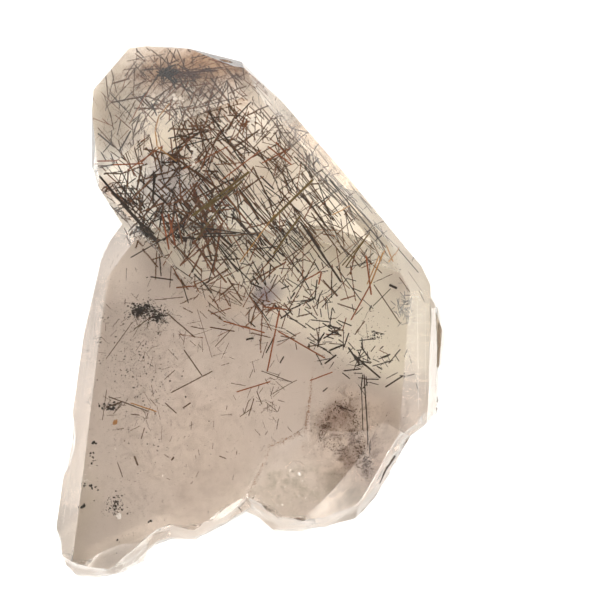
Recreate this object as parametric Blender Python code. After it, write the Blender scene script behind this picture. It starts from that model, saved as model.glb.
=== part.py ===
"""Rutilated quartz: a small cluster of quartz crystals grown together, lying on its flat back.

One crystal is a stout six-sided point that runs from the upper left to the lower right. It grew through
two broad prisms that stand side by side, whose lower ends are broken off. A thin side crystal runs along
the right flank. They are one piece of quartz, so they are one solid.

Seen from above, +X is to the right, +Y runs towards the points and +Z is up. The cluster rests on Z = 0.
Run it with blender --background --python part.py, or from Blender's text editor.
"""

import math

import bmesh
import bpy
from mathutils import Vector, noise

MM = 0.001

# Driving sizes, in millimetres. The faces below are set out from a point near the middle of the cluster,
# and BOX_MIDDLE is where the middle of its box lies from there, so that the box ends up centred.
BOX_MIDDLE = (-0.086, -0.106)
BLOCK_SIZE = 160.0
PRISM_TOP = 14.5
POINT_THICKNESS = 11.5

# Slopes of the broad front faces, as rise per run along X and Y
LEFT_PRISM_CLIMB = (-0.012, 0.014)
RIGHT_PRISM_CLIMB = (0.061, 0.103)
POINT_CLIMB = (0.103, 0.172)
POINT_CAP_CLIMB = (0.355, -0.45)
POINT_LEFT_CLIMB = (0.72, -0.487)

# Angles of quartz, in degrees. A point's face leans 38.2 degrees in from the prism face below it.
POINT_FACE_LEAN = 38.2
SIDE_POINT_FACE = 23.1
SIDE_PRISM_FACE = 30.0
# The face under the tip, and how far sides and ends lean in below their widest line
UNDER_TIP_FACE = 73.0
UNDERCUT_LEAN = 7.0

# Where the stout point's front face comes level with the prisms, and the tip of its three front faces
FADE_START = (-7.4, 2.7)
FADE_END = (17.6, -12.2)
POINT_PEAK = (-12.5, 19.4)

# The broken edge at the foot of the cluster, seen from above, from left to right, in millimetres
BREAK_LINE = (
    (-24.0, -27.0),
    (-21.4, -28.6),
    (-20.2, -29.8),
    (-17.7, -30.0),
    (-16.0, -29.9),
    (-14.3, -29.3),
    (-12.9, -28.6),
    (-12.0, -27.3),
    (-11.0, -26.3),
    (-9.2, -25.7),
    (-6.3, -25.7),
    (-5.2, -25.3),
    (-3.2, -24.1),
    (-0.6, -22.6),
    (0.9, -23.4),
    (2.9, -24.8),
    (5.4, -24.8),
    (8.3, -24.4),
    (11.1, -23.3),
    (12.9, -22.1),
    (14.5, -21.4),
    (15.9, -18.7),
    (17.1, -16.2),
    (18.3, -14.0),
    (19.5, -12.5),
    (21.3, -11.3),
    (24.0, -10.4),
)
BREAK_LEVELS = 14
BREAK_HEIGHT = 22.0
BREAK_MIDDLE = 6.5
BREAK_MIDDLE_WANDER = 4.0
BREAK_ROUNDING = 0.014
BREAK_RIPPLE = 1.1
BREAK_RIPPLE_REACH = 4.0
BREAK_SWELL = 0.25
BREAK_SCATTER = 0.9
BREAK_DEPTH = 25.0

# Shell-shaped breaks: centre, radius and flatness along Z, in millimetres
SHELL_BREAKS = (
    ((9.3, -22.8, 15.9), 12.0, 0.275),
    ((12.4, -26.2, 16.6), 7.5, 0.8),
    ((-13.4, -33.4, 19.2), 9.0, 1.0),
    ((-3.4, -29.0, 16.6), 5.6, 1.0),
    ((21.4, -18.6, 12.4), 6.6, 1.3),
    ((-28.7, -13.6, 10.5), 8.8, 1.8),
    ((14.5, 22.2, 15.6), 7.2, 1.0),
    ((-17.4, -34.6, 1.0), 6.4, 0.55),
    ((-6.6, -31.0, 2.0), 6.8, 0.5),
    ((5.6, -30.0, 1.0), 6.8, 0.6),
)

# Small chips along the edges: centre, radius and flatness along Z, in millimetres
CHIPS = (
    ((-18.7, 15.6, 14.9), 1.3, 0.7),
    ((-16.9, 28.7, 10.4), 1.4, 0.8),
    ((-2.7, 29.0, 15.6), 1.2, 0.7),
    ((14.5, 11.9, 14.8), 1.0, 1.5),
    ((-10.2, 6.0, 15.7), 1.0, 0.6),
    ((-23.7, -26.4, 11.0), 2.4, 1.5),
    ((-18.9, -8.4, 15.2), 1.1, 0.8),
    ((-4.2, -25.4, 14.3), 2.2, 0.9),
    ((0.2, -20.6, 14.9), 1.5, 0.8),
    ((6.4, -12.6, 15.1), 1.2, 0.7),
    ((5.0, -17.9, 13.6), 1.3, 0.7),
    ((17.2, -17.8, 3.2), 1.9, 1.2),
    ((22.2, -9.0, 7.0), 1.2, 1.7),
)
SHELL_DETAIL = 4
CHIP_DETAIL = 2
SHELL_LUMPS = 0.025
CHIP_LUMPS = 0.05

# A shell-shaped break has rings like a sea shell's, which spread from where the blow fell
RING_CENTRE = Vector((0.55, 0.25, -0.80)).normalized()
RING_COUNT = 34.0
RING_DEPTH = 0.007

QUARTZ_COLOUR = (0.78, 0.70, 0.62, 1.0)
QUARTZ_ROUGHNESS = 0.06
QUARTZ_IOR = 1.544
QUARTZ_CLEARNESS = 0.85


def clear_scene():
    for obj in list(bpy.data.objects):
        bpy.data.objects.remove(obj)


def mm(x, y, z):
    return Vector((x - BOX_MIDDLE[0], y - BOX_MIDDLE[1], z)) * MM


def plate(x, y, z, climb):
    """A broad top face through a point, climbing by these slopes along X and Y."""
    return mm(x, y, z), Vector((-climb[0], -climb[1], 1.0)).normalized()


def underside(x, y, z, climb):
    point, normal = plate(x, y, z, climb)
    return point, -normal


def height_on(face, place):
    """The height of a face above a place, in millimetres."""
    point, normal = face
    offset = mm(place[0], place[1], 0.0) - Vector((point.x, point.y, 0.0))
    return (point.z - (offset.x * normal.x + offset.y * normal.y) / normal.z) / MM


def side_face(start, end, tilt):
    """A face through the 3-D edge from start to end, with the crystal on its left.

    tilt lifts the face's normal above level, in degrees: 0 is upright, and below 0 is undercut.
    """
    run = (end - start).normalized()
    level = Vector((run.y, -run.x, 0.0)).normalized()
    lift = math.radians(tilt)
    outward = level * math.cos(lift) + Vector((0.0, 0.0, math.sin(lift)))
    return start, (outward - run * outward.dot(run)).normalized()


def wall(start, end, height, tilt):
    """A side face whose edge runs level, at a height."""
    return side_face(mm(*start, height), mm(*end, height), tilt)


def shoulder(top, start, end, tilt):
    """A side face that meets a top face along an edge."""
    return side_face(mm(*start, height_on(top, start)), mm(*end, height_on(top, end)), tilt)


def grow_crystal(name, faces):
    """A crystal is a block cut down by its flat faces, each given by a point and an outward normal."""
    bm = bmesh.new()
    bmesh.ops.create_cube(bm, size=BLOCK_SIZE * MM)
    for point, normal in faces:
        everything = bm.verts[:] + bm.edges[:] + bm.faces[:]
        cut = bmesh.ops.bisect_plane(
            bm, geom=everything, dist=1e-8, plane_co=point, plane_no=normal, clear_outer=True
        )
        rim = [part for part in cut["geom_cut"] if isinstance(part, bmesh.types.BMEdge)]
        if rim:
            bmesh.ops.edgeloop_fill(bm, edges=rim)
    bmesh.ops.recalc_face_normals(bm, faces=bm.faces)
    return finish_mesh(name, bm)


def finish_mesh(name, bm):
    mesh = bpy.data.meshes.new(name)
    bm.to_mesh(mesh)
    bm.free()
    obj = bpy.data.objects.new(name, mesh)
    bpy.context.scene.collection.objects.link(obj)
    return obj


def hide_helper(obj):
    obj.hide_render = True
    obj.display_type = "WIRE"
    return obj


def stout_point():
    """The upper crystal: six-sided, lying with one broad prism face up, its tip at the upper left."""
    front = plate(*FADE_START, PRISM_TOP, POINT_CLIMB)
    peak = (*POINT_PEAK, height_on(front, POINT_PEAK))
    faces = [
        front,
        underside(*FADE_START, PRISM_TOP - POINT_THICKNESS, POINT_CLIMB),
        plate(*peak, POINT_CAP_CLIMB),
        plate(*peak, POINT_LEFT_CLIMB),
        shoulder(front, (1.6, 22.4), (-3.0, 25.2), 90.0 - POINT_FACE_LEAN),
        shoulder(front, (-17.8, 14.9), (-10.7, 7.3), 42.0),
        wall((-17.8, 15.4), (-14.2, 9.3), 13.6, -UNDERCUT_LEAN),
        shoulder(front, (14.9, 6.4), (6.8, 15.5), 64.0),
        shoulder(front, (15.5, 7.0), (7.4, 16.1), 27.0),
        wall((17.0, 8.1), (1.3, 26.0), 14.4, -UNDERCUT_LEAN),
        shoulder(front, (17.8, 2.2), (15.3, 7.0), 36.0),
        wall((20.5, 2.4), (19.2, 5.2), 12.0, 4.0),
        wall((19.2, 5.2), (16.4, 8.6), 12.0, 4.0),
        shoulder(front, (16.6, -13.3), (17.7, 2.2), 38.0),
        wall((19.8, -13.0), (20.1, 2.5), 10.0, 0.0),
        wall((-18.1, 24.2), (-18.1, 16.9), 11.2, 12.0),
        wall((-18.1, 24.2), (-18.1, 16.9), 11.2, -UNDERCUT_LEAN),
        wall((-13.8, 29.95), (-17.9, 25.1), 10.6, 6.0),
        wall((-8.4, 30.0), (-14.0, 30.0), 12.0, 10.0),
        wall((-8.4, 30.0), (-14.0, 30.0), 12.0, -UNDERCUT_LEAN),
        wall((-1.2, 28.2), (-8.4, 30.0), 14.0, 16.0),
        wall((-1.2, 28.2), (-8.4, 30.0), 14.0, -UNDERCUT_LEAN),
        wall((1.2, 25.9), (-1.2, 28.2), 14.2, 9.0),
        wall((1.2, 25.9), (-1.2, 28.2), 14.2, -9.0),
        wall((-6.0, 26.1), (-15.1, 18.1), 5.9, -UNDER_TIP_FACE),
        wall((-8.2, 1.4), (17.2, -13.7), 10.0, 0.0),
    ]
    return grow_crystal("stout_point", faces)


def left_prism():
    """The broad lower-left crystal, lying on one prism face with the opposite one up."""
    front = plate(*FADE_START, PRISM_TOP, LEFT_PRISM_CLIMB)
    faces = [
        front,
        underside(0.0, 0.0, 0.0, (0.0, 0.0)),
        shoulder(front, (-15.9, 7.4), (-19.9, -25.7), SIDE_PRISM_FACE),
        wall((-17.1, 6.2), (-18.5, 0.2), 9.0, 3.0),
        wall((-18.5, 0.2), (-19.85, -8.8), 9.0, -2.0),
        wall((-19.85, -8.8), (-22.0, -23.6), 9.0, -3.0),
        wall((-22.0, -25.0), (-21.0, -29.1), 9.0, 0.0),
        wall((-16.2, 7.9), (-17.1, 6.2), 9.0, 8.0),
        wall((-14.7, 10.0), (-16.2, 8.0), 9.0, SIDE_POINT_FACE),
        wall((-14.7, 10.0), (-16.2, 8.0), 9.0, -UNDERCUT_LEAN),
        wall((-16.0, 6.4), (-20.9, -24.6), 0.0, -56.0),
        shoulder(front, (-6.0, 9.6), (-15.9, 7.4), 62.0),
        wall((9.0, 8.0), (-6.0, 11.0), 5.0, -UNDERCUT_LEAN),
        wall((-6.0, 11.2), (-14.7, 10.0), 7.0, -UNDERCUT_LEAN),
        shoulder(front, (6.1, -13.3), (7.0, -6.0), 44.0),
        wall((8.5, -30.0), (8.5, 6.0), 5.0, 0.0),
        wall((-30.0, -34.0), (20.0, -34.0), 5.0, 0.0),
    ]
    return grow_crystal("left_prism", faces)


def right_prism():
    """The lower-right crystal, which carries on below the stout point. Its foot broke away."""
    front = plate(*FADE_END, PRISM_TOP, RIGHT_PRISM_CLIMB)
    faces = [
        front,
        underside(0.0, 0.0, 0.0, (0.0, 0.0)),
        shoulder(front, (16.6, -13.3), (17.8, 2.2), 38.0),
        wall((19.8, -13.0), (20.1, 2.5), 8.0, -2.0),
        wall((20.1, 2.5), (18.6, 5.5), 8.0, -2.0),
        wall((18.6, 5.5), (16.1, 8.2), 8.0, -6.0),
        wall((16.1, 8.2), (9.0, 11.0), 8.0, -14.0),
        wall((10.0, 10.6), (-1.0, 9.6), 5.0, -UNDERCUT_LEAN),
        wall((20.0, 1.0), (6.0, 9.0), 11.0, 90.0 - POINT_FACE_LEAN),
        wall((19.0, -13.0), (19.4, 2.0), 0.0, -50.0),
        wall((0.0, 12.0), (0.0, -30.0), 8.0, 0.0),
        wall((13.0, -21.8), (18.4, -13.6), 5.4, 12.0),
        wall((17.6, -12.6), (20.2, -10.1), 12.2, 46.0),
        wall((-30.0, -27.0), (20.0, -27.0), 5.0, 0.0),
    ]
    return grow_crystal("right_prism", faces)


def side_blade():
    """A thin crystal grown in parallel along the right flank."""
    faces = [
        plate(20.6, -4.0, 6.8, (-0.42, 0.03)),
        underside(0.0, 0.0, 0.0, (0.0, 0.0)),
        wall((21.1, -11.3), (21.2, -3.0), 3.0, 3.0),
        wall((21.15, -3.0), (21.0, 0.9), 3.0, 3.0),
        wall((21.0, 0.8), (20.0, 2.4), 3.0, 4.0),
        wall((20.4, 2.2), (16.0, 3.8), 3.0, 22.0),
        wall((17.0, 6.0), (17.0, -13.0), 3.0, 0.0),
        wall((17.0, -13.2), (21.25, -11.3), 3.0, -8.0),
    ]
    return grow_crystal("side_blade", faces)


def side_ledge():
    """A small step that stands out from the side blade."""
    faces = [
        plate(21.4, -2.6, 5.0, (-0.25, 0.1)),
        underside(0.0, 0.0, 1.2, (0.0, 0.0)),
        wall((21.4, -6.0), (21.7, -3.6), 3.0, 6.0),
        wall((21.7, -3.6), (21.8, -2.0), 3.0, 6.0),
        wall((21.8, -2.0), (21.1, 0.3), 3.0, 6.0),
        wall((21.0, 0.5), (19.5, 0.5), 3.0, 0.0),
        wall((19.5, 0.6), (19.5, -5.6), 3.0, 0.0),
        wall((19.5, -7.4), (21.6, -6.0), 3.0, 0.0),
    ]
    return grow_crystal("side_ledge", faces)


def break_surface(x, y, z):
    """A point on the broken foot, which stands back from its outermost line above and below it."""
    middle = BREAK_MIDDLE + BREAK_MIDDLE_WANDER * noise.noise(Vector((x * 0.13, 0.0, 8.1)))
    rise = z - middle
    rounding = BREAK_ROUNDING * rise * rise
    ripple = BREAK_RIPPLE * (1.0 + noise.noise(Vector((x * 0.30, z * 0.24, 3.7))))
    recess = rounding + ripple * min(1.0, abs(rise) / BREAK_RIPPLE_REACH) - BREAK_SWELL
    sideways = BREAK_SCATTER * noise.noise(Vector((x * 0.7, z * 0.6, 5.3)))
    upwards = BREAK_SCATTER * noise.noise(Vector((x * 0.6, z * 0.7, 9.9)))
    return mm(x + sideways, y + recess, z + upwards)


def break_cutter():
    """What broke away from the foot: a block whose near side follows the broken edge."""
    bm = bmesh.new()
    levels = [-1.0 + BREAK_HEIGHT * i / (BREAK_LEVELS - 1) for i in range(BREAK_LEVELS)]
    columns = []
    for x, y in BREAK_LINE:
        near = [bm.verts.new(break_surface(x, y, z)) for z in levels]
        far = [bm.verts.new(mm(x, y - BREAK_DEPTH, z)) for z in (levels[-1], levels[0])]
        columns.append(near + far)
    ring = len(columns[0])
    for left, right in zip(columns, columns[1:]):
        for i in range(ring):
            j = (i + 1) % ring
            bm.faces.new((left[i], left[j], right[j], right[i]))
    bm.faces.new(columns[0])
    bm.faces.new(columns[-1])
    bmesh.ops.recalc_face_normals(bm, faces=bm.faces)
    bmesh.ops.triangulate(bm, faces=bm.faces)
    return hide_helper(finish_mesh("break_cutter", bm))


def shell_cutter(name, seed, centre, radius, flatness, detail, lumps):
    """A faceted, slightly lumpy ball with low rings, whose bite leaves a shell-shaped break."""
    bm = bmesh.new()
    bmesh.ops.create_icosphere(bm, subdivisions=detail, radius=radius * MM)
    for vert in bm.verts:
        direction = vert.co.normalized()
        lump = lumps * noise.noise(direction * 2.0 + Vector((seed * 5.1, 0.0, 0.0)))
        ring = RING_DEPTH * math.sin(RING_COUNT * direction.angle(RING_CENTRE))
        squashed = Vector((vert.co.x, vert.co.y, vert.co.z * flatness))
        vert.co = squashed * (1.0 + lump + ring) + mm(*centre)
    return hide_helper(finish_mesh(name, bm))


def combine(obj, other, operation):
    modifier = obj.modifiers.new(f"{operation.lower()}_{other.name}", "BOOLEAN")
    modifier.operation = operation
    modifier.object = other


def quartz_material():
    material = bpy.data.materials.new("smoky_quartz")
    material.use_nodes = True
    shader = material.node_tree.nodes["Principled BSDF"]
    shader.inputs["Base Color"].default_value = QUARTZ_COLOUR
    shader.inputs["Roughness"].default_value = QUARTZ_ROUGHNESS
    shader.inputs["Metallic"].default_value = 0.0
    shader.inputs["IOR"].default_value = QUARTZ_IOR
    shader.inputs["Transmission Weight"].default_value = QUARTZ_CLEARNESS
    return material


def build_cluster():
    cluster = left_prism()
    cluster.name = "quartz_cluster"
    for crystal in (right_prism(), stout_point(), side_blade(), side_ledge()):
        combine(cluster, hide_helper(crystal), "UNION")
    combine(cluster, break_cutter(), "DIFFERENCE")
    for number, (centre, radius, flatness) in enumerate(SHELL_BREAKS):
        name = f"shell_break_{number}"
        cutter = shell_cutter(name, number, centre, radius, flatness, SHELL_DETAIL, SHELL_LUMPS)
        combine(cluster, cutter, "DIFFERENCE")
    for number, (centre, radius, flatness) in enumerate(CHIPS):
        name = f"chip_{number}"
        seed = len(SHELL_BREAKS) + number
        cutter = shell_cutter(name, seed, centre, radius, flatness, CHIP_DETAIL, CHIP_LUMPS)
        combine(cluster, cutter, "DIFFERENCE")
    cluster.data.materials.append(quartz_material())
    return cluster


clear_scene()
build_cluster()
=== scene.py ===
"""Looks of a rutilated quartz cluster: clear smoky crystals with rutile needles grown inside them."""
import math
import random

import bmesh
import bpy
from mathutils import Matrix, Vector, noise
from mathutils.bvhtree import BVHTree


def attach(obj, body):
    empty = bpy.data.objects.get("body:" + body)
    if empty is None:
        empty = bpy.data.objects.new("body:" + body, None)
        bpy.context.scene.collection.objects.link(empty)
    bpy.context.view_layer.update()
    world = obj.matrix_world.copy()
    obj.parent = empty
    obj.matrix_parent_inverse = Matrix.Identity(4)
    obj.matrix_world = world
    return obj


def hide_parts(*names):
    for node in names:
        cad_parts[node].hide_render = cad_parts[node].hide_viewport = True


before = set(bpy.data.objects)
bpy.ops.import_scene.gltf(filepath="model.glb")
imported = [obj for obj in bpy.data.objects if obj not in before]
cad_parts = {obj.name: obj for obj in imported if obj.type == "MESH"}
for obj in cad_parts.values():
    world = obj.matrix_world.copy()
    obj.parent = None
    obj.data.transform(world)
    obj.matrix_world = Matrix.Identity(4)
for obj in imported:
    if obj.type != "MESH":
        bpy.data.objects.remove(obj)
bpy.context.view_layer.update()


# The quartz
# Three crystals of pale smoky quartz that grew into each other. Their flat faces formed as they grew and
# carry faint growth lines, and their foot broke off the rock in rippled, slightly frosted scoops.
MM = 0.001
SEAM = 0.002 * MM
FLAT_WITHIN = math.radians(0.4)
GROWN_FACE_AREA = 2.5 * MM**2
BREAK_CUTS = 2
BREAK_RELIEF = ((3.2, 0.16), (1.1, 0.09), (0.45, 0.035))  # width and height of each ripple, mm
CREASE = math.radians(28)
POINT_AXIS = Vector((0.669, -0.743, 0.0))
LEFT_PRISM_AXIS = Vector((-0.14, -0.99, 0.0))
RIGHT_PRISM_AXIS = Vector((0.05, -0.999, 0.0))
SEAM_START = Vector((-13.5, 8.5)) * MM
SEAM_END = Vector((19.0, -9.0)) * MM
PRISMS_MEET_X = 5.5 * MM


def select_only(piece):
    bpy.ops.object.select_all(action="DESELECT")
    piece.select_set(True)
    bpy.context.view_layer.objects.active = piece


def crystal_axis(place):
    """The long axis of the crystal that a place on the surface belongs to."""
    along = SEAM_END - SEAM_START
    beyond = place.xy - SEAM_START
    if along.x * beyond.y - along.y * beyond.x > 0:
        return POINT_AXIS
    return LEFT_PRISM_AXIS if place.x < PRISMS_MEET_X else RIGHT_PRISM_AXIS


quartz = bpy.data.objects.new("quartz_crystals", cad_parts["quartz_cluster"].data.copy())
bpy.context.collection.objects.link(quartz)
quartz.data.materials.clear()
select_only(quartz)
bpy.ops.object.mode_set(mode="EDIT")
bpy.ops.mesh.select_all(action="SELECT")
bpy.ops.mesh.remove_doubles(threshold=SEAM)
bpy.ops.mesh.dissolve_limited(angle_limit=FLAT_WITHIN)
bpy.ops.mesh.select_mode(type="FACE")
bpy.ops.mesh.select_all(action="DESELECT")
surface = bmesh.from_edit_mesh(quartz.data)
for side in surface.faces:
    side.select = side.calc_area() < GROWN_FACE_AREA
bmesh.update_edit_mesh(quartz.data)
bpy.ops.mesh.subdivide(number_cuts=BREAK_CUTS)

surface = bmesh.from_edit_mesh(quartz.data)
surface.normal_update()
on_break = surface.faces.layers.int.new("on_break")
for side in surface.faces:
    side[on_break] = side.select
    side.smooth = side.select
moves = {}
for corner in surface.verts:
    if all(side[on_break] for side in corner.link_faces):
        height = sum(noise.noise(corner.co / (wide * MM)) * high * MM for wide, high in BREAK_RELIEF)
        moves[corner] = corner.normal * height
for corner, move in moves.items():
    corner.co += move
for edge in surface.edges:
    grown = any(not side[on_break] for side in edge.link_faces)
    edge.smooth = not grown and edge.calc_face_angle(math.pi) < CREASE
growth = surface.loops.layers.uv.new("growth")
for side in surface.faces:
    along = crystal_axis(side.calc_center_median())
    along = (along - side.normal * along.dot(side.normal)).normalized()
    across = side.normal.cross(along)
    for loop in side.loops:
        loop[growth].uv = Vector((loop.vert.co.dot(along), loop.vert.co.dot(across))) / MM
bmesh.update_edit_mesh(quartz.data)
bpy.ops.object.mode_set(mode="OBJECT")

frost = quartz.data.attributes.new("frost", "FLOAT", "POINT")
broken = quartz.data.attributes["on_break"]
for side in quartz.data.polygons:
    if broken.data[side.index].value:
        for i in side.vertices:
            frost.data[i].value = 1.0

QUARTZ_IOR = 1.544
SMOKE_COLOUR = (0.66, 0.46, 0.27, 1)
SMOKE_DENSITY = 8
LEFT_PRISM_TINT = (0.72, 0.66, 0.615, 1)
# Painted light: the point's tint is lighter where it lies over the hidden end of the lower right prism, to
# lift the shade on the floor under that thick quartz.
OVERLAP_PAINTED_LIGHT = (1.0, 0.96, 0.87, 1)
# The point's own smoky colour, darkened further as painted shade where the point stands clear of the floor
# and more light reaches under it.
POINT_SMOKE_AND_PAINTED_SHADE = (0.9, 0.81, 0.7, 1)
FRESH_BREAK_TINT = (0.9, 0.83, 0.77, 1)
GROWTH_LINE_SCALE = (1.6, 0.12, 1)  # noise cells to a mm, across and along the crystal
GROWTH_LINE_DEPTH = 0.08 * MM
CLEAR_TO_FROSTED = (0.02, 0.22)
SEAM_BLEND = 1.2 * MM
OVERLAP_WAY = Vector((0.322, 0.947, 0))  # square to the hidden end of the lower right prism
OVERLAP_ENDS = (12.0 * MM, 12.4 * MM)
PATCH_FADES = (0.7, 1.5)  # where a patch starts and ends to fade, in half sizes and its wisps
# Smoky tints in the quartz, and two patches of painted light and shade that are marked where they stand.
SMOKE_AND_PAINTED_LIGHT_PATCHES = (  # centre and half size in mm, and the tint at the middle
    ((-5.5, 26.8, 12), (13.0, 5.2, 30), (0.34, 0.2, 0.11, 1)),
    ((12.3, 10.0, 12), (3.2, 1.8, 30), (0.66, 0.57, 0.43, 1)),
    ((-15.5, 22.3, 10), (5.0, 8.0, 30), (0.5, 0.41, 0.31, 1)),
    ((3.0, 17.5, 12), (4.8, 4.4, 30), (0.68, 0.58, 0.47, 1)),
    ((-6.8, 23.3, 12), (2.2, 3.0, 30), (0.6, 0.5, 0.4, 1)),
    ((-14.0, 11.6, 10), (2.6, 2.6, 30), (0.72, 0.6, 0.5, 1)),
    ((-9.2, 20.2, 12), (3.8, 4.8, 30), (1.0, 0.9, 0.76, 1)),
    ((-9.6, 15.0, 12), (4.2, 4.4, 30), (0.74, 0.7, 0.7, 1)),
    ((-16.2, 14.2, 10), (2.4, 2.8, 30), (0.55, 0.45, 0.38, 1)),
    ((-3.5, 1.8, 10), (7.0, 2.8, 30), (0.8, 0.71, 0.63, 1)),
    ((1.9, 2.7, 10), (2.6, 1.8, 30), (0.5, 0.44, 0.5, 1)),
    # Painted light: lightens the top of the left prism beside the point's overhang, to lift the shade that
    # falls there.
    ((-14.6, 5.0, 10), (4.6, 5.6, 30), (1.0, 0.93, 0.87, 1)),
    ((-3.0, -5.5, 10), (8.5, 6.0, 30), (0.79, 0.73, 0.68, 1)),
    ((-6.0, -15.5, 8), (9.5, 11.0, 30), (0.78, 0.71, 0.65, 1)),
    ((10.5, 11.5, 10), (7.5, 7.5, 30), (0.88, 0.8, 0.68, 1)),
    ((-20.5, -22.0, 8), (4.0, 12.0, 30), (0.74, 0.68, 0.61, 1)),
    ((-13.5, -27.2, 8), (5.0, 2.8, 30), (0.7, 0.64, 0.58, 1)),
    ((17.6, 4.5, 10), (2.8, 4.4, 30), (0.88, 0.82, 0.76, 1)),
    ((15.8, -13.0, 8), (2.4, 4.4, 30), (0.58, 0.51, 0.45, 1)),
    ((11.6, -14.0, 8), (6.6, 9.4, 30), (0.84, 0.74, 0.66, 1)),
    ((11.3, -20.2, 8), (5.0, 3.8, 30), (0.56, 0.5, 0.44, 1)),
    ((9.7, -11.2, 8), (2.8, 2.4, 30), (0.6, 0.49, 0.43, 1)),
    ((12.0, -16.0, 8), (2.4, 3.8, 30), (0.62, 0.52, 0.46, 1)),
    # Painted shade: darkens the thin right flank, where strong light from the floor beside it shines up
    # through the quartz.
    ((21.4, -4.5, 4), (3.2, 22.0, 30), (0.56, 0.48, 0.39, 1)),
)
VEIL_SHARE = (0.47, 0.6)  # cloud strengths between which a veil sets in
VEIL_PATCHES = (  # the same for places with fine mottled veils
    ((10.5, -13.5, 8), (5.5, 7.0, 30), (0.26, 0.18, 0.14, 1)),
    ((4.5, -19.5, 8), (9.0, 4.5, 30), (0.66, 0.62, 0.54, 1)),
    ((-5.5, 26.8, 12), (13.0, 5.2, 30), (0.2, 0.1, 0.05, 1)),
    ((-8.0, 14.0, 12), (9.0, 7.0, 30), (0.5, 0.43, 0.4, 1)),
    ((-20.2, -16.0, 8), (2.6, 16.0, 30), (0.72, 0.66, 0.6, 1)),
    ((-8.0, -12.0, 8), (12.0, 18.0, 30), (0.66, 0.59, 0.54, 1)),
)


def new_material(name):
    """A fresh material, with its node tree, its Principled shader and its output."""
    material = bpy.data.materials.new(name)
    material.use_nodes = True
    tree = material.node_tree
    return material, tree, tree.nodes["Principled BSDF"], tree.nodes["Material Output"]


quartz_look, tree, shader, output = new_material("smoky_quartz")
add, link = tree.nodes.new, tree.links.new
shader.inputs["Transmission Weight"].default_value = 1
shader.inputs["IOR"].default_value = QUARTZ_IOR
smoke = add("ShaderNodeVolumeAbsorption")
smoke.inputs["Color"].default_value = SMOKE_COLOUR
smoke.inputs["Density"].default_value = SMOKE_DENSITY
link(smoke.outputs["Volume"], output.inputs["Volume"])

smoke_and_painted_light_patch = bpy.data.node_groups.new("smoke_and_painted_light_patch", "ShaderNodeTree")
smoke_and_painted_light_patch.interface.new_socket("Centre", in_out="INPUT", socket_type="NodeSocketVector")
smoke_and_painted_light_patch.interface.new_socket("Half Size", in_out="INPUT", socket_type="NodeSocketVector")
smoke_and_painted_light_patch.interface.new_socket("Amount", in_out="OUTPUT", socket_type="NodeSocketFloat")
patch_in = smoke_and_painted_light_patch.nodes.new("NodeGroupInput")
patch_out = smoke_and_painted_light_patch.nodes.new("NodeGroupOutput")
patch_place = smoke_and_painted_light_patch.nodes.new("ShaderNodeTexCoord")
patch_wisps = smoke_and_painted_light_patch.nodes.new("ShaderNodeTexNoise")
patch_wisps.inputs["Scale"].default_value = 260
patch_wisps.inputs["Detail"].default_value = 3
patch_edge = smoke_and_painted_light_patch.nodes.new("ShaderNodeMath")
patch_edge.operation = "ADD"
patch_fall = smoke_and_painted_light_patch.nodes.new("ShaderNodeMapRange")
patch_fall.interpolation_type = "SMOOTHSTEP"
patch_fall.inputs["From Min"].default_value, patch_fall.inputs["From Max"].default_value = PATCH_FADES
patch_fall.inputs["To Min"].default_value = 1
patch_fall.inputs["To Max"].default_value = 0
patch_offset = smoke_and_painted_light_patch.nodes.new("ShaderNodeVectorMath")
patch_offset.operation = "SUBTRACT"
patch_share = smoke_and_painted_light_patch.nodes.new("ShaderNodeVectorMath")
patch_share.operation = "DIVIDE"
patch_far = smoke_and_painted_light_patch.nodes.new("ShaderNodeVectorMath")
patch_far.operation = "LENGTH"
smoke_and_painted_light_patch.links.new(patch_place.outputs["Object"], patch_offset.inputs[0])
smoke_and_painted_light_patch.links.new(patch_in.outputs["Centre"], patch_offset.inputs[1])
smoke_and_painted_light_patch.links.new(patch_offset.outputs["Vector"], patch_share.inputs[0])
smoke_and_painted_light_patch.links.new(patch_in.outputs["Half Size"], patch_share.inputs[1])
smoke_and_painted_light_patch.links.new(patch_share.outputs["Vector"], patch_far.inputs[0])
smoke_and_painted_light_patch.links.new(patch_place.outputs["Object"], patch_wisps.inputs["Vector"])
smoke_and_painted_light_patch.links.new(patch_far.outputs["Value"], patch_edge.inputs[0])
smoke_and_painted_light_patch.links.new(patch_wisps.outputs["Fac"], patch_edge.inputs[1])
smoke_and_painted_light_patch.links.new(patch_edge.outputs["Value"], patch_fall.inputs["Value"])
smoke_and_painted_light_patch.links.new(patch_fall.outputs["Result"], patch_out.inputs["Amount"])


def tinted(colour, amount, tint):
    """Turns a tint towards the next one where the amount is high. The first may be a plain colour."""
    mix = add("ShaderNodeMix")
    mix.data_type = "RGBA"
    if isinstance(colour, tuple):
        mix.inputs["A"].default_value = colour
    else:
        link(colour, mix.inputs["A"])
    mix.inputs["B"].default_value = tint
    link(amount, mix.inputs[0])
    return mix.outputs["Result"]


def patch_amount(centre, half_size):
    """How far a place is in a soft patch, given in mm."""
    patch = add("ShaderNodeGroup")
    patch.node_tree = smoke_and_painted_light_patch
    patch.inputs["Centre"].default_value = Vector(centre) * MM
    patch.inputs["Half Size"].default_value = Vector(half_size) * MM
    return patch.outputs["Amount"]


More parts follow.
